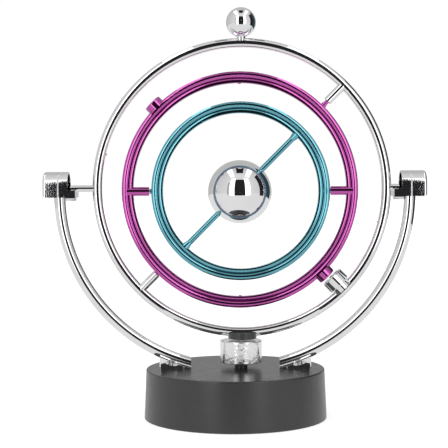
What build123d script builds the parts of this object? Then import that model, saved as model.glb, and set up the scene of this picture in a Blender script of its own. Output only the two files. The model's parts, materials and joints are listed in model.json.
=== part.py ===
"""Orbital desk toy: a battery base with an electromagnet, a fork, and three rings that turn on
crossed axes round a hollow ball.

Frame: millimetres, +Z up, origin on the floor under the middle of the base. The rings hang in the
XZ plane, and the front of the toy faces -Y.
"""
from build123d import *
import os

os.makedirs("parts", exist_ok=True)

# ---- base ----
BASE_BOTTOM_R = 45.2
BASE_TOP_R = 44.2
BASE_TOP_Z = 24.4
FOOT_GAP = 0.3               # how far the rubber feet lift the base
BASE_WALL = 2.2
TOP_PLATE = 2.4
COVER_R = 42.6
COVER_TOP_Z = 3.2
COVER_SCREW_PCD_R = 38.4
RUBBER_FOOT_R = 4.5
RUBBER_FOOT_PLACE_R = 36.0

# ---- rings ----
RING_X = 3.55                # the outer ring rests this far right of the base's axis
AXIS_Z = 113.7
MIDDLE_SHIFT = (-0.95, -0.95)    # the middle ring has slid down its own slanted pins
INNER_SHIFT = (0.4, -0.57)       # the inner ring's pins stand a little below the middle ring's centre
BALL_SHIFT = (-0.4, -0.4)        # the ball sits a little low along its cross rod
OUTER_MID_R = 71.5
OUTER_HALF_WIDTH = 2.35      # the outer ring is a round tube with a narrow flat front and back
OUTER_HALF_DEPTH = 2.1
OUTER_FLAT = 0.3
MIDDLE_MID_R = 55.5
INNER_MID_R = 41.3
COLOURED_HALF_WIDTH = 2.85   # each coloured ring has a small inner bead and a large outer one
SMALL_BEAD_PLACE = -2.05
SMALL_BEAD = (2.0, 1.73)     # half-width and half-depth before the ring's edges cut them off
LARGE_BEAD_PLACE = 1.36
LARGE_BEAD = (2.05, 2.1)
EDGE_ROUND = 0.3
BALL_R = 15.7
BALL_WALL = 0.8
RUNNING_GAP = 0.05           # radial clearance of a pin in its bearing

# ---- pins and posts ----
AXLE_R = 1.65
AXLE_LENGTH = 13.8           # beyond the outer ring
OUTER_POST_R = 2.1
OUTER_POST_END = 60.1
MIDDLE_PIN_R = 1.1
MIDDLE_PIN_END = 64.0
MIDDLE_SHOULDER_R = 1.4
MIDDLE_SHOULDER_END = 59.5
MIDDLE_POST_R = 2.2
MIDDLE_POST_END = 44.9
INNER_PIN_R = 1.0
INNER_PIN_END = 50.0
INNER_SHOULDER_R = 1.3
INNER_SHOULDER_END = 44.8
MOUTH_GAP = 0.3              # between a shoulder and the widened mouth of its post
MOUTH_DEPTH = 1.2
PIN_END_ROOM = 2.0           # how much deeper than the pin each blind hole goes
CROSS_ROD_R = 1.45

# ---- magnets ----
DRIVE_HOUSING_R = 7.05
DRIVE_HOUSING_START = 71.4
DRIVE_HOUSING_END = 74.7
DRIVE_MAGNET_START = 72.0
DRIVE_MAGNET_LENGTH = 1.8
DRIVE_MAGNET_R = 5.2
SIDE_CUP_R = 5.9
SIDE_CUP_FACE = 62.6
SIDE_CUP_BACK = 68.2
SIDE_SADDLE_R = 5.0
SIDE_MAGNET_R = 4.55
TILT_CUP_R = 4.6
TILT_CUP_FACE = 61.1
TILT_MAGNET_R = 3.45

# ---- finial ----
FINIAL_R = 7.4
FINIAL_CENTRE = 81.5
FINIAL_WALL = 0.5
FINIAL_STUD_R = 1.45
FINIAL_NECK_R = 2.1

# ---- fork ----
FORK_Z = 110.6
FORK_MID_R = 86.55
FORK_TUBE_R = 2.85
FORK_END_X = 21.9
FOOT_OUTER_X = 37.5
FOOT_HALF_DEPTH = 4.0
FOOT_TOP_R = 88.6            # the foot's top follows an arc just inside the arm
FORK_SCREW_X = 32.0
HEAD_Z = 114.95              # centre of the head's round top; its sides and bottom are flat
HEAD_R = 7.1
HEAD_BOTTOM_Z = 109.4
HEAD_WALL = 1.0
CAP_OUTER_X = 94.25
CAP_SEAM_X = 86.7
SEAM_ROUND = 0.35
HOOD_X = 82.0
CRADLE_X = 78.15
CRADLE_TOP_Z = 113.0
SEAT_BLOCK_X = (83.2, 85.6)  # the block in the cup that carries the tip of the axle pin
LIP_BOTTOM_Z = 107.8

# ---- electromagnet ----
COIL_X = 2.85                # the coil stands a little right of the base's axis
SEAT_R = 3.2                 # a short stem that holds the cup clear of the base
CUP_BOTTOM_Z = 27.3
CUP_TOP_Z = 38.3
CUP_R = 10.4
CUP_WALL = 1.0
LEAD_HOLE_Y = 4.8            # the coil's two wires rise behind the stem
LEAD_HOLE_R = 1.4
LEAD_PITCH = 1.2
COIL_SCREW_R = 1.5

# ---- battery compartment ----
CELL_R = 5.25
CELL_LENGTH = 44.5
CELL_PITCH = 10.8
CELL_Z = 7.65
BOX_HALF_X = 23.0
BOX_HALF_Y = 25.8
BOX_WALL = 1.2
BOX_TOP_Z = 14.4
CAVITY_HALF_Y = BOX_HALF_Y - BOX_WALL
DOOR_HALF_X = 23.4
DOOR_HALF_Y = 27.0
DOOR_LIP = 0.8
DOOR_TRAVEL = 5.0
DOOR_GAP = 0.3
DOOR_BOTTOM_Z = 0.4
DOOR_TOP_Z = 2.0
BOARD_Z = 8.0
BOARD_THICK = 1.2
BOARD_SCREWS = [(31.0, -9.0), (31.0, 9.0)]

PARTS = {}


# ---- helpers ----
def block(x0, x1, y0, y1, z0, z1):
    """A box between two corners."""
    centre = Pos((x0 + x1) / 2, (y0 + y1) / 2, (z0 + z1) / 2)
    return centre * Box(x1 - x0, y1 - y0, z1 - z0)


def upright(radius, z0, z1, x=0.0, y=0.0):
    """A vertical cylinder."""
    return Pos(x, y, (z0 + z1) / 2) * Cylinder(radius, z1 - z0)


def rod(radius, start, end):
    """A cylinder along local +X."""
    return Pos((start + end) / 2, 0, 0) * Rot(0, 90, 0) * Cylinder(radius, end - start)


def taper(start_r, end_r, start, end):
    """A cone along local +X."""
    return Pos((start + end) / 2, 0, 0) * Rot(0, 90, 0) * Cone(start_r, end_r, end - start)


def round_rims(shape, radius, axis=Axis.X):
    """Fillets the rim at the far end of a turned piece."""
    return fillet(shape.faces().sort_by(axis)[-1].edges(), radius)


def at_angle(shape, degrees):
    """Turns a piece drawn along local +X round the ring's axis."""
    return Rot(0, 0, degrees) * shape


def on_outer(shape):
    """Stands a piece drawn in the local XY plane up in the rings' plane, about the outer ring's centre."""
    return Pos(RING_X, 0, AXIS_Z) * Rot(90, 0, 0) * shape


def on_middle(shape):
    """The same, about the middle ring's centre."""
    return on_outer(Pos(*MIDDLE_SHIFT) * shape)


def on_inner(shape):
    """The same, about the inner ring's centre."""
    return on_middle(Pos(*INNER_SHIFT) * shape)


def pin_hole(pin_r, shoulder_r, start, pin_end):
    """A blind hole for a pivot pin, with a wider mouth that clears the pin's shoulder."""
    hole = rod(pin_r + RUNNING_GAP, start - 1, pin_end + PIN_END_ROOM)
    return hole + rod(shoulder_r + MOUTH_GAP, start - 1, start + MOUTH_DEPTH)


def mirrored(shape):
    """The left-hand copy of a right-hand piece."""
    return mirror(shape, about=Plane.YZ)


def screw(shank_r, shank_length, head_r, head_height):
    """A pan head screw, its tip up, its head's underside at z = 0, with a cross recess."""
    body = upright(head_r, -head_height, 0) + upright(shank_r, -0.01, shank_length)
    body = chamfer(body.faces().sort_by(Axis.Z)[-1].edges(), shank_r * 0.4)
    body = fillet(body.faces().sort_by(Axis.Z)[0].edges(), head_height * 0.35)
    recess_depth = head_height * 0.55
    slot = Pos(0, 0, -head_height + recess_depth / 2) * Box(head_r * 1.1, head_r * 0.26, recess_depth)
    return body - slot - Rot(0, 0, 90) * slot


def beaded_ring(mid_r):
    """A coloured ring: a small inner bead and a large outer one with a groove between them."""
    section = Pos(SMALL_BEAD_PLACE, 0) * Ellipse(*SMALL_BEAD)
    section += Pos(LARGE_BEAD_PLACE, 0) * Ellipse(*LARGE_BEAD)
    section &= Rectangle(2 * COLOURED_HALF_WIDTH, 10)
    corners = section.vertices().sort_by(Axis.X)
    section = fillet(corners[:2] + corners[-2:], EDGE_ROUND)
    return revolve(Plane.XZ * Pos(mid_r, 0) * section, Axis.Z)


def outer_tube():
    """The plain hoop of the outer ring."""
    half_width = OUTER_HALF_WIDTH - OUTER_FLAT
    bead = Ellipse(half_width, OUTER_HALF_DEPTH)
    section = Pos(-OUTER_FLAT, 0) * bead + Pos(OUTER_FLAT, 0) * bead
    section += Rectangle(2 * OUTER_FLAT, 2 * OUTER_HALF_DEPTH)
    return revolve(Plane.XZ * Pos(OUTER_MID_R, 0) * section, Axis.Z)


def arch(half_depth, bottom_z, x0, x1):
    """A bar along X with flat sides, a flat bottom and the head's round top."""
    bar = Pos(0, 0, HEAD_Z) * rod(half_depth, x0, x1)
    bar += block(x0, x1, -half_depth, half_depth, HEAD_Z - half_depth, HEAD_Z)
    return bar & block(x0, x1, -half_depth, half_depth, bottom_z, HEAD_Z + half_depth)


def gate_nub(ring_inner_r, degrees):
    """The small moulding mark left on a ring's inner edge."""
    return at_angle(rod(0.7, ring_inner_r - 0.45, ring_inner_r + 1.2), degrees)


# ---- base ----
def base_housing():
    draft = BASE_BOTTOM_R - BASE_TOP_R
    outline = [
        (0, BASE_TOP_Z),
        (BASE_TOP_R, BASE_TOP_Z),
        (BASE_BOTTOM_R, FOOT_GAP),
        (BASE_BOTTOM_R - BASE_WALL, FOOT_GAP),
        (BASE_TOP_R - BASE_WALL + draft * 0.1, BASE_TOP_Z - TOP_PLATE),
        (0, BASE_TOP_Z - TOP_PLATE),
    ]
    face = Plane.XZ * make_face(Polyline(*outline, close=True))
    shell = revolve(face, Axis.Z)
    rim = shell.edges().filter_by(GeomType.CIRCLE).sort_by(Axis.Z)[-1]
    shell = fillet(rim, 0.7)
    for degrees in (45, 135, 225, 315):
        boss = upright(3.0, COVER_TOP_Z, BASE_TOP_Z - TOP_PLATE + 0.2)
        boss -= upright(1.1, COVER_TOP_Z - 1, 13.0)
        shell += Rot(0, 0, degrees) * Pos(COVER_SCREW_PCD_R, 0, 0) * boss
    plate = (BASE_TOP_Z - TOP_PLATE - 1, BASE_TOP_Z + 1)
    for side in (-1, 1):
        shell -= upright(1.35, *plate, x=side * FORK_SCREW_X)
    shell -= upright(COIL_SCREW_R + 0.15, *plate, x=COIL_X)
    shell -= upright(LEAD_HOLE_R, *plate, x=COIL_X, y=LEAD_HOLE_Y)
    return shell


def base_cover():
    cover = upright(COVER_R, FOOT_GAP, COVER_TOP_Z)
    cover += block(-BOX_HALF_X, BOX_HALF_X, -BOX_HALF_Y, BOX_HALF_Y, FOOT_GAP, BOX_TOP_Z)
    inner_x = BOX_HALF_X - BOX_WALL
    cover -= block(-inner_x, inner_x, -CAVITY_HALF_Y, CAVITY_HALF_Y, 0, BOX_TOP_Z - BOX_WALL)
    # the door's track: a narrow mouth below, a wider groove above it
    track_y0 = -DOOR_HALF_Y - DOOR_TRAVEL - DOOR_GAP
    track_y1 = DOOR_HALF_Y + DOOR_GAP
    mouth = DOOR_HALF_X + DOOR_GAP
    groove = mouth + DOOR_LIP
    cover -= block(-mouth, mouth, track_y0, track_y1, 0, DOOR_TOP_Z + 0.2)
    cover -= block(-groove, groove, track_y0, track_y1, FOOT_GAP + 0.6, DOOR_TOP_Z + 0.2)
    for degrees in (30, 150, 210, 330):
        cover -= Rot(0, 0, degrees) * upright(RUBBER_FOOT_R + 0.1, 0, 1.5, x=RUBBER_FOOT_PLACE_R)
    for degrees in (45, 135, 225, 315):
        hole = upright(1.3, 0, COVER_TOP_Z + 1) + upright(2.3, 0, 1.6)
        cover -= Rot(0, 0, degrees) * Pos(COVER_SCREW_PCD_R, 0, 0) * hole
    for x, y in BOARD_SCREWS:
        cover += upright(2.2, COVER_TOP_Z - 0.2, BOARD_Z, x, y)
        cover -= upright(0.8, COVER_TOP_Z + 1.0, BOARD_Z + 1, x, y)
    # slots where the two battery tabs come through the roof of the compartment
    for side in (-1, 1):
        x = side * 1.5 * CELL_PITCH
        cover -= block(x - 1.4, x + 1.4, CAVITY_HALF_Y - 0.6, CAVITY_HALF_Y, BOX_TOP_Z - 2, BOX_TOP_Z + 1)
    return cover


def battery_door():
    door = block(-DOOR_HALF_X, DOOR_HALF_X, -DOOR_HALF_Y, DOOR_HALF_Y, DOOR_BOTTOM_Z, DOOR_TOP_Z)
    flange = DOOR_HALF_X + DOOR_LIP
    door += block(-flange, flange, -DOOR_HALF_Y, DOOR_HALF_Y, FOOT_GAP + 0.75, DOOR_TOP_Z)
    for row in range(5):
        y = -DOOR_HALF_Y + 4 + 1.8 * row
        door -= block(-7, 7, y, y + 0.8, DOOR_BOTTOM_Z - 1, DOOR_BOTTOM_Z + 0.3)
    return door


def rubber_feet():
    foot = chamfer(upright(RUBBER_FOOT_R, 0, 1.5).faces().sort_by(Axis.Z)[0].edges(), 0.3)
    places = [Rot(0, 0, degrees) * Pos(RUBBER_FOOT_PLACE_R, 0, 0) for degrees in (30, 150, 210, 330)]
    return [place * foot for place in places]


def cover_screws():
    piece = screw(1.1, 9.5, 2.1, 0.9)
    places = [Rot(0, 0, degrees) * Pos(COVER_SCREW_PCD_R, 0, 1.6) for degrees in (45, 135, 225, 315)]
    return [place * piece for place in places]


# ---- batteries and circuit ----
def battery_cell(x, plus_end):
    """An AAA cell along Y, its button at the end given by plus_end."""
    button = 1.2
    body_end = 22.1 - CELL_LENGTH + button
    body = Pos(0, (22.1 + body_end) / 2, 0) * Rot(90, 0, 0) * Cylinder(CELL_R, 22.1 - body_end)
    body = fillet(body.edges().filter_by(GeomType.CIRCLE), 0.5)
    body += Pos(0, body_end - button / 2 + 0.05, 0) * Rot(90, 0, 0) * Cylinder(1.9, button + 0.1)
    turn = 0 if plus_end < 0 else 180
    return Pos(x, 0, CELL_Z) * Rot(0, 0, turn) * body


def contact_button(x, wall):
    """The formed cone that meets a cell's button, on the wall given by its sign."""
    cone = Rot(90, 0, 0) * Cone(2.6, 1.5, 1.7)
    turn = 180 if wall < 0 else 0
    return Pos(x, wall * (CAVITY_HALF_Y - 0.4 - 0.85), CELL_Z) * Rot(0, 0, turn) * cone


def contact_leaf(x, wall):
    """The bowed leaf spring that presses on a cell's flat end."""
    bow = 2.0
    half = 3.5
    radius = (half ** 2 + bow ** 2) / (2 * bow)
    hoop = Cylinder(radius, 5) - Cylinder(radius - 0.4, 6)
    leaf = hoop & block(-half, half, radius - bow - 0.2, radius + 1, -3, 3)
    turn = 180 if wall > 0 else 0
    return Pos(x, wall * (CAVITY_HALF_Y - 0.4 + radius - bow), CELL_Z) * Rot(0, 0, turn) * leaf


def contact(wall, buttons, leaves, tab_x=None):
    """One nickelled contact against the end wall whose sign is given."""
    xs = buttons + leaves
    face = wall * CAVITY_HALF_Y
    inner = wall * (CAVITY_HALF_Y - 0.4)
    y0, y1 = min(face, inner), max(face, inner)
    piece = block(min(xs) - 4.4, max(xs) + 4.4, y0, y1, CELL_Z - 4, CELL_Z + 4)
    if tab_x is not None:
        piece += block(tab_x - 1.2, tab_x + 1.2, y0, y1, CELL_Z, BOX_TOP_Z + 1.2)
    for x in buttons:
        piece += contact_button(x, wall)
    for x in leaves:
        piece += contact_leaf(x, wall)
    return piece


def circuit_board():
    board = block(26, 39, -13, 13, BOARD_Z, BOARD_Z + BOARD_THICK)
    board = fillet(board.edges().filter_by(Axis.Z), 1.0)
    for x, y in BOARD_SCREWS:
        board -= upright(1.0, BOARD_Z - 1, BOARD_Z + 3, x, y)
    return board


def board_screws():
    piece = Rot(180, 0, 0) * screw(0.8, 4.2, 1.8, 1.2)
    return [Pos(x, y, BOARD_Z + BOARD_THICK) * piece for x, y in BOARD_SCREWS]


def drive_transistor():
    top = BOARD_Z + BOARD_THICK
    body = upright(2.3, top + 1.8, top + 6.4) - block(1.4, 4, -4, 4, top, top + 8)
    for y in (-1.27, 0, 1.27):
        body += block(-0.22, 0.22, y - 0.22, y + 0.22, top, top + 2.0)
    return Pos(35.5, -4.5, 0) * body


def smoothing_capacitor():
    top = BOARD_Z + BOARD_THICK
    can = upright(3.0, top, top + 8)
    can = fillet(can.faces().sort_by(Axis.Z)[-1].edges(), 0.6)
    return Pos(35, 4.5, 0) * can


def wire(points, bend):
    """A thin insulated wire along straight runs joined by arcs."""
    path = FilletPolyline(*points, radius=bend)
    start = Plane(origin=path @ 0, z_dir=path % 0)
    return sweep(start * Circle(0.45), path=path)


def battery_leads():
    top = BOARD_Z + BOARD_THICK
    y = CAVITY_HALF_Y - 0.2
    x = 1.5 * CELL_PITCH
    start_z = BOX_TOP_Z + 1.25
    right = [(x, y, start_z), (x, y, 18.6), (28, 12, 18.6), (28, 12, top)]
    left = [(-x, y, start_z), (-x, y, 20.4), (29, 6, 20.4), (29, 6, top)]
    return [wire(right, 1.5), wire(left, 1.5)]


def coil_leads():
    top = BOARD_Z + BOARD_THICK
    x = COIL_X
    end_z = CUP_BOTTOM_Z + 1
    runs = []
    for side in (-1, 1):
        y = LEAD_HOLE_Y + side * LEAD_PITCH / 2
        points = [(28, 4 * side - 2, top), (28, 4 * side - 2, 16.8), (x, y, 16.8), (x, y, end_z)]
        runs.append(wire(points, 3.0))
    return runs


# ---- electromagnet ----
def coil_seat():
    seat = upright(SEAT_R, BASE_TOP_Z, CUP_BOTTOM_Z + 1)
    seat += upright(CUP_R - CUP_WALL - RUNNING_GAP, CUP_BOTTOM_Z, CUP_BOTTOM_Z + 1)
    seat -= upright(COIL_SCREW_R + 0.15, 0, 50)
    seat -= upright(LEAD_HOLE_R, 0, 50, y=LEAD_HOLE_Y)
    return Pos(COIL_X, 0, 0) * seat


def coil_cup():
    outer = upright(CUP_R, CUP_BOTTOM_Z, CUP_TOP_Z)
    outer = fillet(outer.faces().sort_by(Axis.Z)[-1].edges(), 0.6)
    outer = fillet(outer.faces().sort_by(Axis.Z)[0].edges(), 0.3)
    outer -= upright(CUP_R - CUP_WALL, CUP_BOTTOM_Z - 1, CUP_TOP_Z - CUP_WALL)
    return Pos(COIL_X, 0, 0) * outer


def coil_bobbin():
    low = CUP_BOTTOM_Z + 1
    spool = upright(3.4, low, low + 8.4)
    spool += upright(8.9, low, low + 1)
    spool += upright(8.9, low + 7.4, low + 8.4)
    spool -= upright(2.55, low - 1, low + 10)
    return Pos(COIL_X, 0, 0) * spool


def drive_coil():
    low = CUP_BOTTOM_Z + 2
    winding = upright(8.2, low, low + 6.4)
    winding = fillet(winding.edges().filter_by(GeomType.CIRCLE), 0.5)
    return Pos(COIL_X, 0, 0) * (winding - upright(3.4, low - 1, low + 8))


def coil_core():
    low = CUP_BOTTOM_Z + 1
    core = upright(2.5, low, CUP_TOP_Z - CUP_WALL - 0.1)
    return Pos(COIL_X, 0, 0) * (core - upright(COIL_SCREW_R, low - 1, low + 5))


def coil_screw():
    length = CUP_BOTTOM_Z + 1 + 4.5 - (BASE_TOP_Z - TOP_PLATE)
    return Pos(COIL_X, 0, BASE_TOP_Z - TOP_PLATE) * screw(COIL_SCREW_R, length, 2.8, 1.6)


# ---- fork ----
def right_fork_arm():
    # the arm is a round bar bent to an arc about Y, from under the head to the base's top
    section = Plane.XZ * Pos(FORK_MID_R, 0) * Circle(FORK_TUBE_R)
    arc = revolve(section, Axis.Z, revolution_arc=84)
    arm = Pos(0, 0, FORK_Z) * Rot(90, 0, 0) * Rot(0, 0, -84) * arc
    # the foot fills the wedge between the arm and the base
    side_view = Pos((FORK_END_X + FOOT_OUTER_X) / 2, BASE_TOP_Z + 4) * Rectangle(
        FOOT_OUTER_X - FORK_END_X, 8)
    side_view -= Pos(0, FORK_Z) * Circle(FOOT_TOP_R)
    foot = extrude(Plane.XZ * side_view, FOOT_HALF_DEPTH, both=True)
    foot = fillet(foot.edges().filter_by(Axis.Z).sort_by(Axis.X)[-2:], 0.6)
    arm += foot
    arm -= block(-5, FORK_END_X, -10, 10, 0, 60)
    arm -= block(-5, 60, -10, 10, 0, BASE_TOP_Z)
    # a lens-shaped slot through the foot, and a small drain slot under the arm
    lens = Pos(31.8, 27.1) * Rot(0, 0, 14) * Ellipse(3.3, 0.95)
    arm -= extrude(Plane.XZ * lens, FOOT_HALF_DEPTH + 1, both=True)
    arm -= block(25.1, 26.0, -10, 10, BASE_TOP_Z - 1, BASE_TOP_Z + 1.2)
    arm -= upright(1.2, BASE_TOP_Z - 1, BASE_TOP_Z + 5, x=FORK_SCREW_X)
    arm -= block(CRADLE_X, CAP_OUTER_X, -10, 10, HEAD_BOTTOM_Z, HEAD_Z)
    return arm


def fork_screws():
    piece = screw(1.2, 6.8, 2.4, 1.6)
    return [Pos(side * FORK_SCREW_X, 0, BASE_TOP_Z - TOP_PLATE) * piece for side in (-1, 1)]


def right_bearing_cup():
    floor_z = HEAD_BOTTOM_Z + 1.6
    bore = arch(HEAD_R - HEAD_WALL, floor_z, CRADLE_X + HEAD_WALL, CAP_SEAM_X + 1)
    cup = round_rims(arch(HEAD_R, HEAD_BOTTOM_Z, CRADLE_X, CAP_SEAM_X), SEAM_ROUND) - bore
    cup -= block(CRADLE_X - 1, HOOD_X, -10, 10, CRADLE_TOP_Z, HEAD_Z + 10)
    cup += block(*SEAT_BLOCK_X, -3.4, 3.4, floor_z - 0.5, AXIS_Z)
    groove_r = AXLE_R + RUNNING_GAP
    cup -= Pos(0, 0, AXIS_Z) * rod(groove_r, CRADLE_X - 1, CAP_SEAM_X + 1)
    lip = block(CRADLE_X + 0.4, 83.4, -2.4, 2.4, LIP_BOTTOM_Z, HEAD_BOTTOM_Z + 0.6)
    lip = chamfer(lip.edges().filter_by(Axis.X).sort_by(Axis.Z)[:2], 1.2)
    return cup + lip


def right_end_cap():
    cap = arch(HEAD_R, HEAD_BOTTOM_Z, CAP_SEAM_X, CAP_OUTER_X)
    cap = fillet(cap.faces().sort_by(Axis.X)[0].edges(), SEAM_ROUND)
    cap = round_rims(cap, 1.2)
    bore = arch(HEAD_R - HEAD_WALL, HEAD_BOTTOM_Z + HEAD_WALL, CAP_SEAM_X - 1, CAP_OUTER_X - 1.4)
    return cap - bore


# ---- outer ring ----
def outer_ring():
    tube = outer_tube()
    for degrees in (45, 225):
        tube += at_angle(rod(OUTER_POST_R, OUTER_POST_END, OUTER_MID_R), degrees)
        hole = pin_hole(MIDDLE_PIN_R, MIDDLE_SHOULDER_R, OUTER_POST_END, MIDDLE_PIN_END)
        tube -= at_angle(hole, degrees)
    tube += drive_flare()
    tube -= at_angle(rod(DRIVE_MAGNET_R, DRIVE_MAGNET_START, 76.0), 270)
    for degrees in (0, 180):
        tube -= at_angle(rod(AXLE_R, OUTER_MID_R, 76.0), degrees)
    tube -= at_angle(rod(FINIAL_STUD_R, OUTER_MID_R, 76.0), 90)
    inner_r = OUTER_MID_R - OUTER_HALF_WIDTH
    tube += gate_nub(inner_r, 166) + gate_nub(inner_r, 346)
    return on_outer(tube)


def axle_pin(degrees):
    end = OUTER_MID_R + OUTER_HALF_WIDTH + AXLE_LENGTH
    pin = rod(AXLE_R, OUTER_MID_R, end)
    pin = chamfer(pin.faces().sort_by(Axis.X)[-1].edges(), 0.3)
    return on_outer(at_angle(pin, degrees))


def finial_stud():
    stud = rod(FINIAL_STUD_R, OUTER_MID_R, FINIAL_CENTRE - FINIAL_R + 3.5)
    neck = rod(FINIAL_NECK_R, OUTER_MID_R, FINIAL_CENTRE - FINIAL_R + 1.0)
    neck -= outer_tube()
    neck -= Pos(FINIAL_CENTRE, 0, 0) * Sphere(FINIAL_R)
    return on_outer(at_angle(stud + neck, 90))


def finial_ball():
    ball = Sphere(FINIAL_R) - Sphere(FINIAL_R - FINIAL_WALL)
    ball -= rod(FINIAL_STUD_R, -FINIAL_R - 1, 0)
    return on_outer(at_angle(Pos(FINIAL_CENTRE, 0, 0) * ball, 90))


def drive_flare():
    """The widening of the ring on both sides of the drive housing."""
    flare = taper(8.9, DRIVE_HOUSING_R, OUTER_MID_R, OUTER_MID_R + 1.3)
    return at_angle(flare & Box(200, 200, 2 * OUTER_HALF_DEPTH - 0.4), 270)


def drive_housing():
    """The black cap under the ring that holds the drive magnet."""
    housing = round_rims(rod(DRIVE_HOUSING_R, DRIVE_HOUSING_START, DRIVE_HOUSING_END), 0.4)
    magnet_end = DRIVE_MAGNET_START + DRIVE_MAGNET_LENGTH
    housing -= rod(DRIVE_MAGNET_R, DRIVE_MAGNET_START, magnet_end + 0.1)
    return on_outer(at_angle(housing, 270) - outer_tube() - drive_flare())


def drive_magnet():
    magnet_end = DRIVE_MAGNET_START + DRIVE_MAGNET_LENGTH
    return on_outer(at_angle(rod(DRIVE_MAGNET_R - 0.1, DRIVE_MAGNET_START, magnet_end), 270))


def side_magnet_cup():
    cup = rod(SIDE_CUP_R, SIDE_CUP_FACE, SIDE_CUP_BACK)
    cup = chamfer(cup.edges().filter_by(GeomType.CIRCLE), 0.35)
    cup += rod(SIDE_SADDLE_R, SIDE_CUP_BACK - 0.5, OUTER_MID_R)
    cup = at_angle(cup, 315) - outer_tube()
    cup -= at_angle(rod(SIDE_MAGNET_R, SIDE_CUP_FACE - 1, SIDE_CUP_FACE + 3.2), 315)
    cup -= at_angle(rod(20, OUTER_MID_R - 0.5, OUTER_MID_R + 20), 315)
    return on_outer(cup)


def side_magnet():
    start = SIDE_CUP_FACE + 0.2
    return on_outer(at_angle(rod(SIDE_MAGNET_R, start, SIDE_CUP_FACE + 3.2), 315))


# ---- middle ring ----
def middle_ring():
    ring = beaded_ring(MIDDLE_MID_R)
    axis_drop = Pos(0, INNER_SHIFT[1])
    for degrees in (0, 180):
        ring += axis_drop * at_angle(rod(MIDDLE_POST_R, MIDDLE_POST_END, MIDDLE_MID_R + 0.2), degrees)
        hole = pin_hole(INNER_PIN_R, INNER_SHOULDER_R, MIDDLE_POST_END, INNER_PIN_END)
        ring -= axis_drop * at_angle(hole, degrees)
    for degrees in (135, 315):
        cup = round_rims(rod(TILT_CUP_R, MIDDLE_MID_R + 1.6, TILT_CUP_FACE), 0.6)
        ring += at_angle(cup, degrees)
        ring -= at_angle(rod(TILT_MAGNET_R, TILT_CUP_FACE - 2.2, TILT_CUP_FACE + 1), degrees)
    for degrees in (45, 225):
        ring += at_angle(rod(MIDDLE_SHOULDER_R, MIDDLE_MID_R, MIDDLE_SHOULDER_END), degrees)
        ring -= at_angle(rod(MIDDLE_PIN_R, MIDDLE_MID_R, MIDDLE_PIN_END), degrees)
    inner_r = MIDDLE_MID_R - COLOURED_HALF_WIDTH
    ring += gate_nub(inner_r, 90) + gate_nub(inner_r, 270)
    return on_middle(ring)


def middle_pivot_pin(degrees):
    pin = rod(MIDDLE_PIN_R, MIDDLE_MID_R, MIDDLE_PIN_END)
    pin = round_rims(pin, 0.3)
    return on_middle(at_angle(pin, degrees))


def tilt_magnet(degrees):
    magnet = rod(TILT_MAGNET_R, TILT_CUP_FACE - 2.2, TILT_CUP_FACE - 0.2)
    return on_middle(at_angle(magnet, degrees))


# ---- inner ring ----
def inner_ring():
    ring = beaded_ring(INNER_MID_R)
    inner_r = INNER_MID_R - COLOURED_HALF_WIDTH
    for degrees in (45, 225):
        spoke = rod(CROSS_ROD_R, 0, INNER_MID_R - 1)
        spoke += taper(CROSS_ROD_R, 2.2, inner_r - 2.6, inner_r + 0.6)
        ring += at_angle(spoke, degrees)
    for degrees in (0, 180):
        ring += at_angle(rod(INNER_SHOULDER_R, INNER_MID_R, INNER_SHOULDER_END), degrees)
        ring -= at_angle(rod(INNER_PIN_R, INNER_MID_R, INNER_PIN_END), degrees)
    return on_inner(ring)


def inner_pivot_pin(degrees):
    pin = rod(INNER_PIN_R, INNER_MID_R, INNER_PIN_END)
    pin = round_rims(pin, 0.3)
    return on_inner(at_angle(pin, degrees))


def ball_half(side):
    """One half of the hollow ball, split in the rings' plane, with a hub that grips the cross rod."""
    shell = Sphere(BALL_R) - Sphere(BALL_R - BALL_WALL)
    shell += upright(3.0, 0, BALL_R - BALL_WALL / 2)
    shell &= block(-20, 20, -20, 20, 0, 20)
    shell -= at_angle(rod(CROSS_ROD_R, -20, 20), 45)
    if side < 0:
        shell = mirror(shell, about=Plane.XY)
    return on_inner(Pos(*BALL_SHIFT) * shell)


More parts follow.
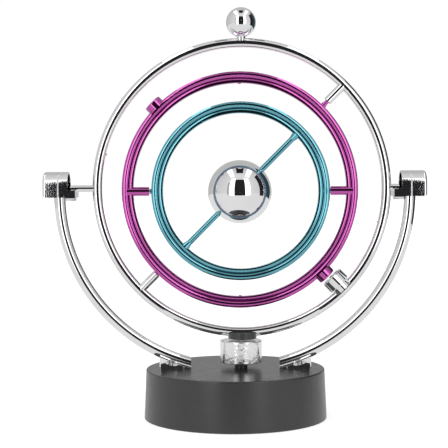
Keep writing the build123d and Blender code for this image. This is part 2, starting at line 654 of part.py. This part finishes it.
# ---- build ----
def collect():
    """Every sub-part by its name."""
    x = [(i - 1.5) * CELL_PITCH for i in range(4)]
    PARTS["base_housing"] = base_housing()
    PARTS["base_cover"] = base_cover()
    PARTS["battery_door"] = battery_door()
    PARTS["rubber_feet"] = rubber_feet()
    PARTS["cover_screws"] = cover_screws()
    for i in range(4):
        plus_end = -1 if i % 2 else 1
        PARTS[f"battery_cell_{i + 1}"] = battery_cell(x[i], plus_end)
    PARTS["positive_contact"] = contact(1, [x[0]], [], tab_x=x[0])
    PARTS["negative_contact"] = contact(1, [], [x[3]], tab_x=x[3])
    PARTS["rear_bridge_contact"] = contact(1, [x[2]], [x[1]])
    PARTS["left_bridge_contact"] = contact(-1, [x[1]], [x[0]])
    PARTS["right_bridge_contact"] = contact(-1, [x[3]], [x[2]])
    PARTS["circuit_board"] = circuit_board()
    PARTS["board_screws"] = board_screws()
    PARTS["drive_transistor"] = drive_transistor()
    PARTS["smoothing_capacitor"] = smoothing_capacitor()
    PARTS["battery_leads"] = battery_leads()
    PARTS["coil_leads"] = coil_leads()
    PARTS["coil_seat"] = coil_seat()
    PARTS["coil_cup"] = coil_cup()
    PARTS["coil_bobbin"] = coil_bobbin()
    PARTS["drive_coil"] = drive_coil()
    PARTS["coil_core"] = coil_core()
    PARTS["coil_screw"] = coil_screw()
    for name, build in (
        ("fork_arm", right_fork_arm),
        ("bearing_cup", right_bearing_cup),
        ("end_cap", right_end_cap),
    ):
        PARTS[f"right_{name}"] = build()
        PARTS[f"left_{name}"] = mirrored(PARTS[f"right_{name}"])
    PARTS["fork_screws"] = fork_screws()
    PARTS["outer_ring"] = outer_ring()
    PARTS["right_axle_pin"] = axle_pin(0)
    PARTS["left_axle_pin"] = axle_pin(180)
    PARTS["finial_stud"] = finial_stud()
    PARTS["finial_ball"] = finial_ball()
    PARTS["drive_housing"] = drive_housing()
    PARTS["drive_magnet"] = drive_magnet()
    PARTS["side_magnet_cup"] = side_magnet_cup()
    PARTS["side_magnet"] = side_magnet()
    PARTS["middle_ring"] = middle_ring()
    PARTS["upper_middle_pin"] = middle_pivot_pin(45)
    PARTS["lower_middle_pin"] = middle_pivot_pin(225)
    PARTS["upper_tilt_magnet"] = tilt_magnet(135)
    PARTS["lower_tilt_magnet"] = tilt_magnet(315)
    PARTS["inner_ring"] = inner_ring()
    PARTS["right_inner_pin"] = inner_pivot_pin(0)
    PARTS["left_inner_pin"] = inner_pivot_pin(180)
    PARTS["ball_front_half"] = ball_half(1)
    PARTS["ball_rear_half"] = ball_half(-1)


collect()
for name, shape in PARTS.items():
    solids = shape if isinstance(shape, list) else shape.solids()
    whole = solids[0] if len(solids) == 1 else Compound(children=list(solids))
    export_step(whole, f"parts/{name}.step")
    print(f"{name}: {len(solids)} solid, {sum(s.volume for s in solids):.0f} mm3")
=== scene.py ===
"""Looks of the orbital desk toy: camera, studio, plated, moulded and inner materials."""
import bpy
import json
import math
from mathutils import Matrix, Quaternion, Vector


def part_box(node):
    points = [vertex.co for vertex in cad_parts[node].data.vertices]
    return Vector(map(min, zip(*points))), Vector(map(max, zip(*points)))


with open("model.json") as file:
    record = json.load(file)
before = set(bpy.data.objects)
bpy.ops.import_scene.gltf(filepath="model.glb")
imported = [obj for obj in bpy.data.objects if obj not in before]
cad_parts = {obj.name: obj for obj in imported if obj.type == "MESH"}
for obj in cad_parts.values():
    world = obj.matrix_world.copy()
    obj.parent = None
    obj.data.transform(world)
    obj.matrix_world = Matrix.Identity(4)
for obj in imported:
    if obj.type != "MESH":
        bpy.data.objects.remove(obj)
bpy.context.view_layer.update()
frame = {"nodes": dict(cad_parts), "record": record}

NODES = frame["nodes"]

# ---- places, in metres ----
RING_LOW, RING_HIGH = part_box("middle_ring")
CENTRE = (RING_LOW + RING_HIGH) / 2      # close to the point that every ring turns about
FLOOR_Z = 0.0

# ---- camera: a little above the rings' centre, looking slightly down ----
CAMERA_EYE = Vector((0.0, -0.620, 0.1184))
CAMERA_AIM = Vector((-0.0053, 0.0, 0.09588))
CAMERA_LEAN = -0.005                     # radians about the line of sight: a trace clockwise
CAMERA_LENS = 100.65                     # focal length and sensor width in millimetres
CAMERA_SENSOR = 36.0
CAMERA_NEAR, CAMERA_FAR = 0.01, 20.0

# ---- studio: sizes in metres, azimuths and elevations in degrees seen from the centre ----
BACKDROP_STRENGTH = 1.02                 # just past white
TENT_HALF = 1.3
TENT_SINK = 0.01                         # the tent's walls reach this far below the table
TENT_FRONT, TENT_BACK = 0.80, 0.56       # glow of the cloth at the camera's end and at the back
STRIP_STRENGTH = 2.2
CARD_DISTANCE = 0.49                     # from the centre to the cards beside the camera
CARD_LOW = -20
CEILING_HEIGHT = 0.7
WALL_DISTANCE = 0.6
WALL_TOP = 45
WALL_STEPS = 8
LAYER_GAP = 0.01                         # keeps the dark gaps clear of the lit cards
STANDING_GAP = 0.001                     # between the table and a card that stands on it
FLOOR_REACH = 6.0
FLOOR_GLOW_DROP = 0.0005                 # the lit sheet under the table that reflections show
FLOOR_STRENGTH = 0.62                    # lifts the lit table to the backdrop's white

# ---- looks that several materials share: colours are linear RGB ----
CHROME_DARK, CHROME_LIGHT = (0.80, 0.80, 0.81), (0.87, 0.87, 0.875)
CHROME_ROUGHNESS = (0.015, 0.04)
TINTED_ROUGHNESS = (0.03, 0.08)
TINTED_BUMP = 0.06
TINTED_COAT = 0.5
COAT_ROUGHNESS = 0.03


def make_camera():
    data = bpy.data.cameras.new("camera")
    data.lens = CAMERA_LENS
    data.sensor_width = CAMERA_SENSOR
    data.clip_start = CAMERA_NEAR
    data.clip_end = CAMERA_FAR
    lean = Quaternion((0, 0, 1), CAMERA_LEAN)
    camera = bpy.data.objects.new("camera", data)
    camera.location = CAMERA_EYE
    camera.rotation_mode = "QUATERNION"
    camera.rotation_quaternion = (CAMERA_AIM - CAMERA_EYE).to_track_quat("-Z", "Y") @ lean
    bpy.context.scene.collection.objects.link(camera)
    bpy.context.scene.camera = camera


# ---- studio pieces ----
def glow(name, colour, strength=1.0):
    """A plain emitting material for the studio's cards. One number as the colour is a grey."""
    rgb = colour if isinstance(colour, tuple) else (colour, colour, colour)
    material = bpy.data.materials.new(name)
    material.use_nodes = True
    nodes, links = material.node_tree.nodes, material.node_tree.links
    nodes.clear()
    out = nodes.new("ShaderNodeOutputMaterial")
    shader = nodes.new("ShaderNodeEmission")
    shader.inputs["Color"].default_value = (*rgb, 1)
    shader.inputs["Strength"].default_value = strength
    links.new(shader.outputs[0], out.inputs["Surface"])
    return material


def cloth_glow(name, front, back, half):
    """Tent cloth that glows less towards the back of the room."""
    material = glow(name, 1)
    nodes, links = material.node_tree.nodes, material.node_tree.links
    place = nodes.new("ShaderNodeSeparateXYZ")
    links.new(nodes.new("ShaderNodeTexCoord").outputs["Object"], place.inputs[0])
    fade = nodes.new("ShaderNodeMapRange")
    fade.inputs["From Min"].default_value = -half
    fade.inputs["From Max"].default_value = half
    fade.inputs["To Min"].default_value = front
    fade.inputs["To Max"].default_value = back
    links.new(place.outputs["Y"], fade.inputs["Value"])
    links.new(fade.outputs["Result"], nodes["Emission"].inputs["Strength"])
    return material


def staged(name, corners, faces, material, seen=False):
    """A studio piece. Unless it is seen, it shows only in reflections and as light."""
    mesh = bpy.data.meshes.new(name)
    mesh.from_pydata(corners, [], faces)
    mesh.materials.append(material)
    piece = bpy.data.objects.new(name, mesh)
    bpy.context.scene.collection.objects.link(piece)
    piece.visible_camera = seen
    piece.visible_shadow = False
    return piece


def level_corners(xs, ys, z):
    (x0, x1), (y0, y1) = xs, ys
    return [(x0, y0, z), (x1, y0, z), (x1, y1, z), (x0, y1, z)]


def upright_card(name, azimuths, elevations, distance, material):
    """A flat card on the plane y = -distance, between two azimuths and two elevations."""
    x0, x1 = (distance * math.tan(math.radians(a)) for a in azimuths)
    z0, z1 = (CENTRE.z + distance * math.tan(math.radians(e)) for e in elevations)
    x0, x1, z0 = CENTRE.x + x0, CENTRE.x + x1, max(z0, FLOOR_Z + STANDING_GAP)
    corners = [(x0, -distance, z0), (x1, -distance, z0), (x1, -distance, z1), (x0, -distance, z1)]
    return staged(name, corners, [(0, 1, 2, 3)], material)


def ceiling_card(name, xs, ys, height, material):
    """A level card above the toy, its sides given as multiples of its height over the centre."""
    x0, x1 = (CENTRE.x + height * x for x in xs)
    y0, y1 = (height * y for y in ys)
    corners = level_corners((x0, x1), (y0, y1), CENTRE.z + height)
    return staged(name, corners, [(0, 1, 2, 3)], material)


def wall_card(name, azimuths, material):
    """A curved upright card that follows a circle round the centre."""
    top = CENTRE.z + WALL_DISTANCE * math.tan(math.radians(WALL_TOP))
    corners = []
    for i in range(WALL_STEPS + 1):
        a = math.radians(azimuths[0] + (azimuths[1] - azimuths[0]) * i / WALL_STEPS)
        x, y = CENTRE.x + WALL_DISTANCE * math.sin(a), -WALL_DISTANCE * math.cos(a)
        corners += [(x, y, FLOOR_Z + STANDING_GAP), (x, y, top)]
    faces = [(2 * i, 2 * i + 2, 2 * i + 3, 2 * i + 1) for i in range(WALL_STEPS)]
    return staged(name, corners, faces, material)


def floor_material():
    """White table: mostly overexposed, with a trace of contact shadow."""
    material = bpy.data.materials.new("white_table")
    material.use_nodes = True
    nodes, links = material.node_tree.nodes, material.node_tree.links
    shader = nodes["Principled BSDF"]
    grain = nodes.new("ShaderNodeTexNoise")
    grain.inputs["Scale"].default_value = 40.0
    ramp = nodes.new("ShaderNodeValToRGB")
    ramp.color_ramp.elements[0].color = (0.74, 0.74, 0.74, 1)
    ramp.color_ramp.elements[1].color = (0.78, 0.78, 0.78, 1)
    links.new(grain.outputs["Fac"], ramp.inputs["Fac"])
    links.new(ramp.outputs["Color"], shader.inputs["Base Color"])
    shader.inputs["Roughness"].default_value = 0.9
    shader.inputs["Specular IOR Level"].default_value = 0.1
    shader.inputs["Emission Color"].default_value = (1, 1, 1, 1)
    shader.inputs["Emission Strength"].default_value = FLOOR_STRENGTH
    return material


# ---- studio ----
def make_backdrop():
    scene = bpy.context.scene
    scene.view_settings.view_transform = "Standard"
    scene.view_settings.look = "None"
    world = bpy.data.worlds.new("white_room")
    scene.world = world
    world.use_nodes = True
    background = world.node_tree.nodes["Background"]
    background.inputs["Color"].default_value = (1, 1, 1, 1)
    background.inputs["Strength"].default_value = BACKDROP_STRENGTH


def make_tent():
    """Walls and roof of white cloth, and no floor."""
    sides_xy, heights = (-TENT_HALF, TENT_HALF), (-TENT_SINK, 2 * TENT_HALF)
    box = [(x, y, z) for x in sides_xy for y in sides_xy for z in heights]
    sides = [(0, 1, 3, 2), (4, 6, 7, 5), (0, 4, 5, 1), (2, 3, 7, 6), (1, 5, 7, 3)]
    staged("tent", box, sides, cloth_glow("tent_cloth", TENT_FRONT, TENT_BACK, TENT_HALF))


def make_cards():
    """Strip lights and ceiling panels on both sides, and the dark parts of the room between them."""
    strip_glow = glow("strip_light", 1, STRIP_STRENGTH)
    dark = glow("dark_gap", (0.02, 0.02, 0.022))
    for side, name in ((-1, "left"), (1, "right")):
        upright_card(f"{name}_strip", (side * 20.0, side * 39.0), (CARD_LOW, 52), CARD_DISTANCE,
                     strip_glow)
        ceiling_card(f"{name}_panel", (side * 0.34, side * 0.62), (-0.60, 0.37), CEILING_HEIGHT,
                     strip_glow)
    upright_card("left_strip_frame", (-39.5, -47.0), (CARD_LOW, 40), CARD_DISTANCE,
                 glow("strip_frame", 0.42))
    upright_card("camera_gap", (-19.5, 19.5), (CARD_LOW, 45), CARD_DISTANCE + LAYER_GAP, dark)
    ceiling_card("ceiling_gap", (-0.17, 0.17), (-0.34, 0.115), CEILING_HEIGHT - LAYER_GAP, dark)
    wall_card("doorway", (76, 104), dark)
    wall_card("beyond_doorway", (104, 140), glow("far_room", (0.03, 0.055, 0.065)))


def make_floor():
    """The table that the camera sees, and the evenly lit one that reflections show."""
    across = (-FLOOR_REACH, FLOOR_REACH)
    table = staged("floor", level_corners(across, across, FLOOR_Z), [(0, 1, 2, 3)],
                   floor_material(), seen=True)
    table.visible_glossy = False
    table.visible_diffuse = False
    staged("floor_glow", level_corners(across, across, FLOOR_Z - FLOOR_GLOW_DROP), [(0, 1, 2, 3)],
           glow("floor_light", 0.84))


# ---- materials ----
def noise_node(nodes, links, coords, scale, detail=3.0):
    texture = nodes.new("ShaderNodeTexNoise")
    texture.inputs["Scale"].default_value = scale
    texture.inputs["Detail"].default_value = detail
    texture.inputs["Roughness"].default_value = 0.55
    links.new(coords, texture.inputs["Vector"])
    return texture.outputs["Fac"]


def ramp_node(nodes, links, value, low, high):
    """Maps a noise value to a range of greys or colours."""
    ramp = nodes.new("ShaderNodeValToRGB")
    first, last = ramp.color_ramp.elements
    first.position, last.position = 0.3, 0.7
    first.color = (*low, 1) if isinstance(low, tuple) else (low, low, low, 1)
    last.color = (*high, 1) if isinstance(high, tuple) else (high, high, high, 1)
    links.new(value, ramp.inputs["Fac"])
    return ramp.outputs["Color"]


def surface(name, dark, light, metallic, roughness, colour_scale=120.0, rough_scale=260.0,
            bump_scale=900.0, bump_strength=0.1, bump_distance=0.00005, coat=0.0, specular=0.5):
    """A procedural surface: two close colours, a roughness range and a fine bump, all from noise.

    It is returned with its name, because Blender renames a material whose name is taken.
    """
    material = bpy.data.materials.new(name)
    material.use_nodes = True
    nodes, links = material.node_tree.nodes, material.node_tree.links
    shader = nodes["Principled BSDF"]
    coords = nodes.new("ShaderNodeTexCoord").outputs["Object"]
    colour = ramp_node(nodes, links, noise_node(nodes, links, coords, colour_scale), dark, light)
    links.new(colour, shader.inputs["Base Color"])
    rough = ramp_node(nodes, links, noise_node(nodes, links, coords, rough_scale, 5.0), *roughness)
    links.new(rough, shader.inputs["Roughness"])
    shader.inputs["Metallic"].default_value = metallic
    shader.inputs["Coat Weight"].default_value = coat
    shader.inputs["Specular IOR Level"].default_value = specular
    shader.inputs["Coat Roughness"].default_value = COAT_ROUGHNESS
    bump = nodes.new("ShaderNodeBump")
    bump.inputs["Strength"].default_value = bump_strength
    bump.inputs["Distance"].default_value = bump_distance
    links.new(noise_node(nodes, links, coords, bump_scale, 4.0), bump.inputs["Height"])
    links.new(bump.outputs["Normal"], shader.inputs["Normal"])
    return name, material


def plated(name, dark, light, roughness, bump_scale=140.0, **finish):
    """Bright plating over a smooth or rippled moulding."""
    return surface(name, dark, light, 1.0, roughness, 60.0, 320.0, bump_scale, **finish)


def plated_materials():
    """Chrome and tinted plating. The rippled and drawn chromes differ only in their bump."""
    tinted = dict(roughness=TINTED_ROUGHNESS, bump_strength=TINTED_BUMP, coat=TINTED_COAT)
    return [
        plated("chrome_plate", CHROME_DARK, CHROME_LIGHT, CHROME_ROUGHNESS, bump_strength=0.03),
        plated("chrome_rippled", CHROME_DARK, CHROME_LIGHT, CHROME_ROUGHNESS, 1300.0,
               bump_strength=0.5, bump_distance=0.00003),
        plated("chrome_drawn", CHROME_DARK, CHROME_LIGHT, CHROME_ROUGHNESS, 480.0,
               bump_strength=1.0, bump_distance=0.00016),
        plated("magenta_plate", (0.48, 0.085, 0.37), (0.57, 0.115, 0.44), **tinted),
        plated("teal_plate", (0.12, 0.38, 0.46), (0.155, 0.46, 0.54), **tinted),
    ]


def moulded_materials():
    """Plastic, rubber, sleeves and the circuit board."""
    return [
        surface("black_plastic", (0.017, 0.017, 0.018), (0.022, 0.022, 0.023), 0.0, (0.26, 0.32),
                bump_scale=2600.0, bump_strength=0.15, bump_distance=0.00004, specular=0.7),
        surface("foot_rubber", (0.02, 0.02, 0.02), (0.035, 0.035, 0.035), 0.0, (0.7, 0.9),
                bump_strength=0.4),
        surface("component_black", (0.015, 0.015, 0.015), (0.03, 0.03, 0.03), 0.0, (0.5, 0.7)),
        surface("capacitor_sleeve", (0.02, 0.03, 0.1), (0.03, 0.05, 0.15), 0.0, (0.2, 0.3)),
        surface("board_green", (0.02, 0.13, 0.05), (0.03, 0.19, 0.08), 0.0, (0.3, 0.45)),
        surface("wire_red", (0.4, 0.01, 0.01), (0.5, 0.02, 0.02), 0.0, (0.35, 0.5)),
        surface("bobbin_plastic", (0.7, 0.69, 0.64), (0.78, 0.77, 0.72), 0.0, (0.45, 0.6)),
    ]


def metal_materials():
    """Pins, screws, magnets, cell jackets, contacts, and the coil's wire and core."""
    return [
        surface("pin_steel", (0.5, 0.5, 0.51), (0.62, 0.62, 0.63), 1.0, (0.16, 0.3)),
        surface("screw_steel", (0.42, 0.42, 0.43), (0.6, 0.6, 0.6), 1.0, (0.22, 0.4)),
        surface("magnet_nickel", (0.62, 0.6, 0.56), (0.75, 0.73, 0.68), 1.0, (0.12, 0.25)),
        surface("cell_jacket", (0.05, 0.09, 0.16), (0.07, 0.12, 0.2), 0.6, (0.25, 0.4)),
        surface("contact_nickel", (0.6, 0.57, 0.5), (0.75, 0.72, 0.65), 1.0, (0.2, 0.35)),
        surface("wire_enamel", (0.4, 0.14, 0.04), (0.5, 0.2, 0.06), 0.3, (0.2, 0.35)),
        surface("copper_winding", (0.6, 0.24, 0.1), (0.75, 0.34, 0.16), 0.9, (0.25, 0.4),
                bump_strength=0.5),
        surface("core_iron", (0.25, 0.25, 0.26), (0.38, 0.38, 0.38), 0.9, (0.4, 0.6)),
    ]


def dress_nodes(materials):
    """Gives every CAD node its slot's material, but the coil cup and the heads their own chrome."""
    special = {"coil_cup": "chrome_drawn"}
    for piece in ("bearing_cup", "end_cap"):
        special[f"left_{piece}"] = special[f"right_{piece}"] = "chrome_rippled"
    for entry in frame["record"]["subparts"]:
        slot = special.get(entry["node"], entry["material_slot"])
        node = NODES[entry["node"]]
        node.data.materials.clear()
        node.data.materials.append(materials[slot])


make_camera()
make_backdrop()
make_tent()
make_cards()
make_floor()
dress_nodes(dict(plated_materials() + moulded_materials() + metal_materials()))
